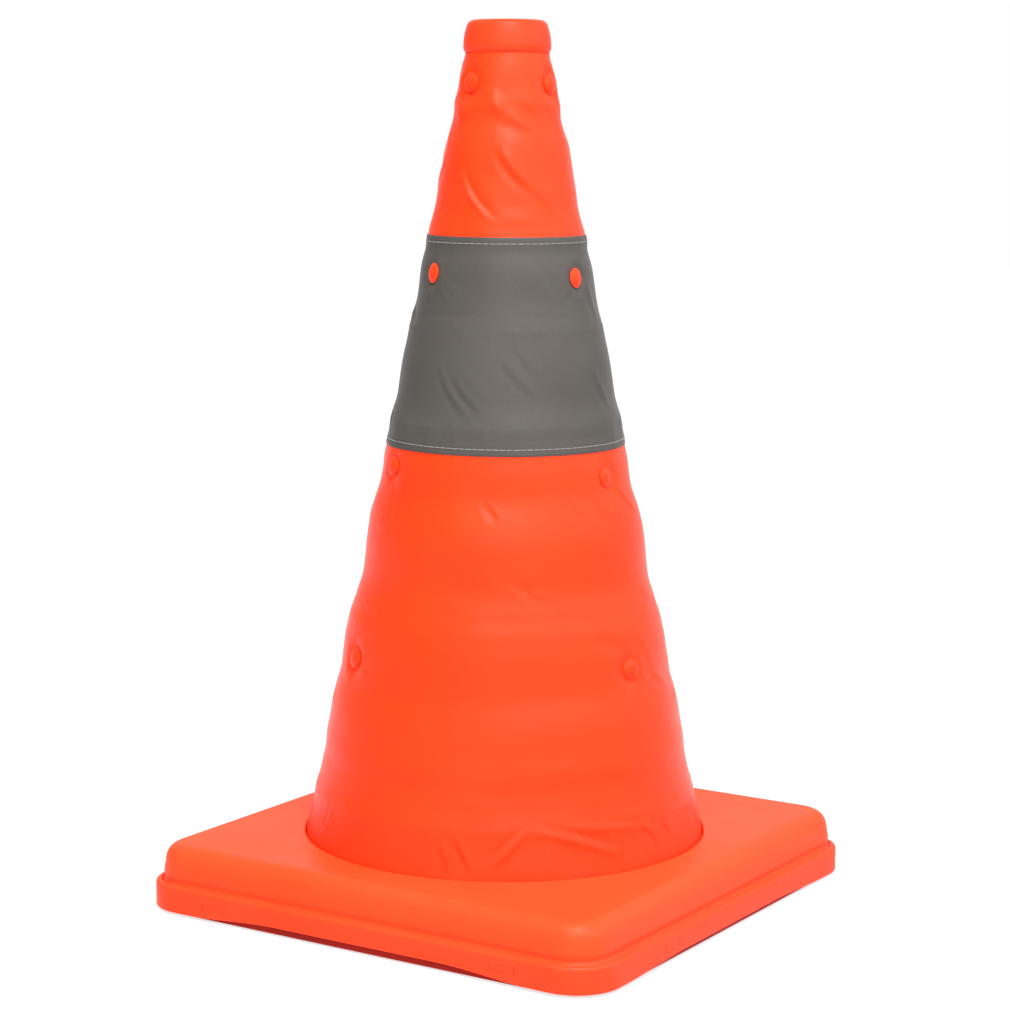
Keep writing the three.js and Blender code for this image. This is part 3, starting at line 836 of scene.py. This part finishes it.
def build_rivet(name):
    tip, axis, length = RIVETS[name]
    head = [(0, -length), (RIVET_SHANK - 0.5, -length), (RIVET_SHANK, -length + 0.6)]
    head += [(RIVET_SHANK, -RIVET_DOME), (RIVET_HEAD - 0.35, -RIVET_DOME)]
    head += arc((RIVET_HEAD - 0.35, -RIVET_DOME + 0.35), 0.35, -60, 60, 5)
    steps = 9
    for i in range(steps + 1):
        share = 1 - i / steps
        radius = (RIVET_HEAD - 0.4) * share
        head.append((radius, -RIVET_DOME + 0.75 + (RIVET_DOME - 0.75) * (1 - share ** 2.4)))
    points, faces = revolved(head, 40)
    thing = make_object(f"rivet_head_{name}", points, faces, ["rivet_plastic"])
    turn = Vector(axis).to_track_quat("Z", "Y").to_matrix().to_4x4()
    thing.data.transform(Matrix.Translation(Vector(tip) * MM) @ turn)
    finish_edges(thing)
    stands_for(thing, f"stage_{name[0]}", "rivet_plastic", f"rivet_{name}")


def build_cap():
    inner = CAP_RADIUS - 2.8
    under = CONE_TOP - 3.5
    outside = [
        (CAP_RADIUS - 0.9, CAP_BOTTOM), (CAP_RADIUS - 0.35, CAP_BOTTOM + 0.25),
        (CAP_RADIUS, CAP_BOTTOM + 1.0), (CAP_RADIUS + 0.5, CAP_BOTTOM + 2.2),
        (CAP_RADIUS + 0.5, CAP_BOTTOM + 4), (CAP_RADIUS + 0.3, CAP_BOTTOM + 7),
        (CAP_RADIUS - 0.1, CONE_TOP - 7), (CAP_RADIUS - 0.6, CONE_TOP - 5),
        *arc((CAP_RADIUS - 5.1, CONE_TOP - 4.0), 4.0, 12, 86, 12),
    ]
    gate = [(CAP_RADIUS - 7, CONE_TOP - 0.06), (3.2, CONE_TOP - 0.02)]
    gate += [(2.6, CONE_TOP - 0.3), (0, CONE_TOP - 0.35)]
    inside = [(0, under), (inner, under), (inner, CAP_BOTTOM)]
    points, faces = revolved([*inside, *outside, *gate], 128)
    thing = make_object("cap_moulding", points, faces, ["cap_plastic"])
    finish_edges(thing)
    stands_for(thing, "stage_1", "cap_plastic", "top_cap")


def build_foot(name):
    node = f"foot_{name}"
    centre = (low(node) + high(node)) / 2
    top = high(node)[2]
    radius = high(node)[0] - centre[0]
    profile = [(0, 0.35), (radius - 4.2, 0.35), (radius - 3.8, 0.0), (radius - 1.4, 0.0)]
    profile += arc((radius - 0.9, 0.9), 0.9, -70, 0, 6)
    profile += [(radius, 1.9), (2.1, 1.9), (2.1, top - 2.9), (3.2, top - 2.6), (1.6, top - 0.2), (0, top)]
    points, faces = revolved(profile, 48)
    points = points + np.array([centre[0], centre[1], 0])
    thing = make_object(f"foot_pad_{name}", points, faces, ["foot_rubber"])
    finish_edges(thing)
    stands_for(thing, "base", "foot_rubber", node)


# ---- Base ----

CORNER_RADIUS = 24
ARCH_HALF = 106                # the rim's lower edge is raised this far each side of the middle
ARCH_RUN = 58
ARCH_RISE = 3.2
ARCH_SIDES = 0.6               # and less on the left and right sides
CORNER_POINTS = 18
SIDE_POINTS = 32


def square_loop(half, z, arched=0):
    """One rounded-square outline parallel to the tray's rim; an arched one rises between the corners."""
    radius = min(half, max(CORNER_RADIUS - (TRAY_HALF - half), 2))
    points = []
    for corner in range(4):
        middle = math.radians(45 + 90 * corner)
        centre = np.array([math.cos(middle), math.sin(middle)]) * (half - radius) * math.sqrt(2)
        for i in range(CORNER_POINTS + 1):
            angle = math.radians(90 * (corner + i / CORNER_POINTS))
            points.append((*(centre + radius * np.array([math.cos(angle), math.sin(angle)])), z))
        end = np.array(points[-1][:2])
        turn = Matrix.Rotation(math.radians(90 * (corner + 1)), 2)
        first = turn @ Vector((half, half - radius))
        for i in range(1, SIDE_POINTS):
            points.append((*(end + (np.array(first) - end) * i / SIDE_POINTS), z))
    return [(x, y, height + arched * (1 if abs(y) > abs(x) else ARCH_SIDES)
             * float(smooth_step((ARCH_HALF - min(abs(x), abs(y))) / ARCH_RUN))) for x, y, height in points]


def round_loop(radius, z, guide):
    """A circle whose points face the same way as the points of another outline."""
    turn = [math.atan2(y, x) for x, y, _ in guide]
    return [(radius * math.cos(a), radius * math.sin(a), z) for a in turn]


def between(first, second, share):
    return [tuple(np.array(a) * (1 - share) + np.array(b) * share) for a, b in zip(first, second)]


FRONT_SNAP = 86                # the snap tabs' distance from the middle of the front and the rear
SIDE_SNAP = 62                 # and of the left and right sides


def snap_places():
    """Each snap's place along its side, the side's sign, and whether the side runs along X."""
    for sign in (-1, 1):
        for side in (-1, 1):
            yield sign * FRONT_SNAP, side, True
            yield sign * SIDE_SNAP, side, False


def snap_block(name, along, side, along_x, half_width, start, end, low_z, high_z, radius, materials):
    centre = side * (start + end) / 2
    size = (2 * half_width, end - start) if along_x else (end - start, 2 * half_width)
    place = (along, centre) if along_x else (centre, along)
    return rounded_box(name, (*place, (low_z + high_z) / 2), (*size, high_z - low_z), radius, materials)


SKIRT = TRAY_HALF - 3.6        # half the width of the shell's skirt, inside the tray's rim
SIDE_LEAN = 1.6                # how far the shell's side leans in
EDGE_RADIUS = 8.5
SHELL_WALL = 2.2
SHELL_HEM = 3.7                # the shell's lowest edge
NECK_LOW = 25.3                # the lower edge of the neck round its opening


def build_shell():
    corner = SKIRT - SIDE_LEAN - EDGE_RADIUS
    outside = [(SKIRT, SHELL_HEM), (SKIRT, RIM_TOP - 0.5), (SKIRT - 0.35, RIM_TOP - 0.05),
               (SKIRT - 0.85, RIM_TOP + 0.5), (SKIRT - 1.0, RIM_TOP + 1.4),
               (SKIRT - 0.85, RIM_TOP + 2.6), (SKIRT - 0.55, RIM_TOP + 4.4),
               *arc((corner, SHELL_TOP - EDGE_RADIUS), EDGE_RADIUS, 6, 90, 14)]
    loops = [square_loop(half, z) for half, z in outside]
    guide = loops[-1]
    lip = OPENING_RADIUS
    top = [(lip + 1.6, SHELL_TOP), (lip + 0.7, SHELL_TOP - 0.09), (lip + 0.35, SHELL_TOP - 0.35),
           (lip + 0.1, SHELL_TOP - 0.75), (lip, SHELL_TOP - 1.3), (lip, NECK_LOW),
           (lip + SHELL_WALL, NECK_LOW), (lip + SHELL_WALL, SHELL_TOP - SHELL_WALL)]
    first_round = round_loop(*top[0], guide)
    loops += [between(guide, first_round, share) for share in (0.3, 0.65)]
    loops += [first_round, *[round_loop(radius, z, guide) for radius, z in top[1:]]]
    inner = EDGE_RADIUS - SHELL_WALL
    inside = [*reversed(arc((corner, SHELL_TOP - EDGE_RADIUS), inner, 6, 90, 6)),
              (SKIRT - SHELL_WALL, RIM_TOP), (SKIRT - SHELL_WALL, SHELL_HEM)]
    loops += [square_loop(half, z) for half, z in inside]
    points = [point for loop in loops for point in loop]
    faces = loop_faces(len(loops), len(guide), closed_rows=True)
    shell = make_object("shell_moulding", points, faces, ["shell_plastic", "snap_plastic"])
    for along, side, along_x in snap_places():
        tab = snap_block("tab", along, side, along_x, 6.7, SKIRT - 1, TRAY_HALF - 0.03, 6.65, 10.15, 0.1,
                         ["shell_plastic", "snap_plastic"])
        combine(shell, tab, "UNION")
    finish_edges(shell)
    stands_for(shell, "base", "shell_plastic", "base_shell")


FOOT_POCKET = (12.3, 2.2)      # radius and depth of the hollow round a foot
SCREW_POCKET = (4.0, 3.0)      # and of the one round a tray screw's head


def build_tray():
    floor_top = TRAY_BOTTOM + 2.4
    rim_inner = TRAY_HALF - 3.1
    plinth = TRAY_HALF - 1.7
    edge = TRAY_BOTTOM + 0.5
    under = [(8, TRAY_BOTTOM, 0), (60, TRAY_BOTTOM, 0), (110, TRAY_BOTTOM, 0),
             (plinth - 0.4, TRAY_BOTTOM, 0), (plinth, TRAY_BOTTOM + 0.3, 0), (plinth, edge, ARCH_RISE)]
    wall = [(half, z, ARCH_RISE) for half, z in arc((TRAY_HALF - 0.8, edge + 0.8), 0.8, -90, 0, 5)]
    rim = [(TRAY_HALF, 8), *arc((TRAY_HALF - 2.0, RIM_TOP - 2.0), 2.0, 0, 78, 8),
           (rim_inner + 0.3, RIM_TOP), (rim_inner, RIM_TOP - 0.3), (rim_inner, floor_top),
           (110, floor_top), (60, floor_top), (8, floor_top)]
    loops = [square_loop(*step) for step in under + wall + rim]
    count = len(loops[0])
    points = [point for loop in loops for point in loop]
    faces = loop_faces(len(loops), count)
    faces.append(tuple(reversed(range(count))))
    faces.append(tuple(range((len(loops) - 1) * count, len(loops) * count)))
    tray = make_object("tray_moulding", points, faces, ["tray_plastic", "tray_underside_painted_shade"])
    # The faces under the rim take the dark material that paints the shade there.
    underside = len(under) * count
    for face in tray.data.polygons:
        face.material_index = int(max(face.vertices) < underside)
    for along, side, along_x in snap_places():
        window = snap_block("window", along, side, along_x, 7, rim_inner - 1, TRAY_HALF + 1, 6.6, 10.2, 0,
                            ["tray_plastic"])
        combine(tray, window, "DIFFERENCE")
    for name in CORNERS:
        for node, (radius, depth) in ((f"foot_{name}", FOOT_POCKET), (f"tray_screw_{name}", SCREW_POCKET)):
            x, y, _ = (low(node) + high(node)) / 2
            points, faces = revolved([(0, -2), (radius, -2), (radius, depth), (0, depth)], 48)
            pocket = make_object("pocket", points + np.array([x, y, 0]), faces, ["tray_plastic"])
            combine(tray, pocket, "DIFFERENCE")
    finish_edges(tray)
    stands_for(tray, "base", "tray_plastic", "base_tray")


# ---- Finishes of the CAD nodes that stay ----

def finish_cad_nodes():
    finish = {"ring_": "ring_plastic", "collar": "ring_plastic", "rivet_cap": "rivet_plastic",
              "tray_screw": "screw_steel", "clamp_screw": "screw_steel", "cap_screw": "screw_steel"}
    for node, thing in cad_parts.items():
        for start, key in finish.items():
            if node.startswith(start):
                thing.data.materials.clear()
                thing.data.materials.append(MATERIALS[key])


CORNERS = ("front_left", "front_right", "rear_right", "rear_left")

bpy.context.scene.view_settings.view_transform = "Standard"
add_camera()
add_world(-100, 0.32)
add_area_light("key_softbox", 8, 58, 2.2, (1.1, 1.1), 90)
add_area_light("gloss_panel", 14, 27, 1.9, (3.0, 1.3), 44, gloss_only=True)
add_area_light("side_panel", 78, 27, 1.9, (2.0, 1.3), 19, gloss_only=True)
add_floor()

finish_cad_nodes()
build_sleeve()
build_band()
build_stitches("stitches_upper", BAND_TOP - STITCH_INSET, "stage_3")
build_stitches("stitches_lower", BAND_BOTTOM + STITCH_INSET, "stage_5")
for rivet_name in RIVETS:
    build_rivet(rivet_name)
build_cap()
build_shell()
build_tray()
for corner_name in CORNERS:
    build_foot(corner_name)
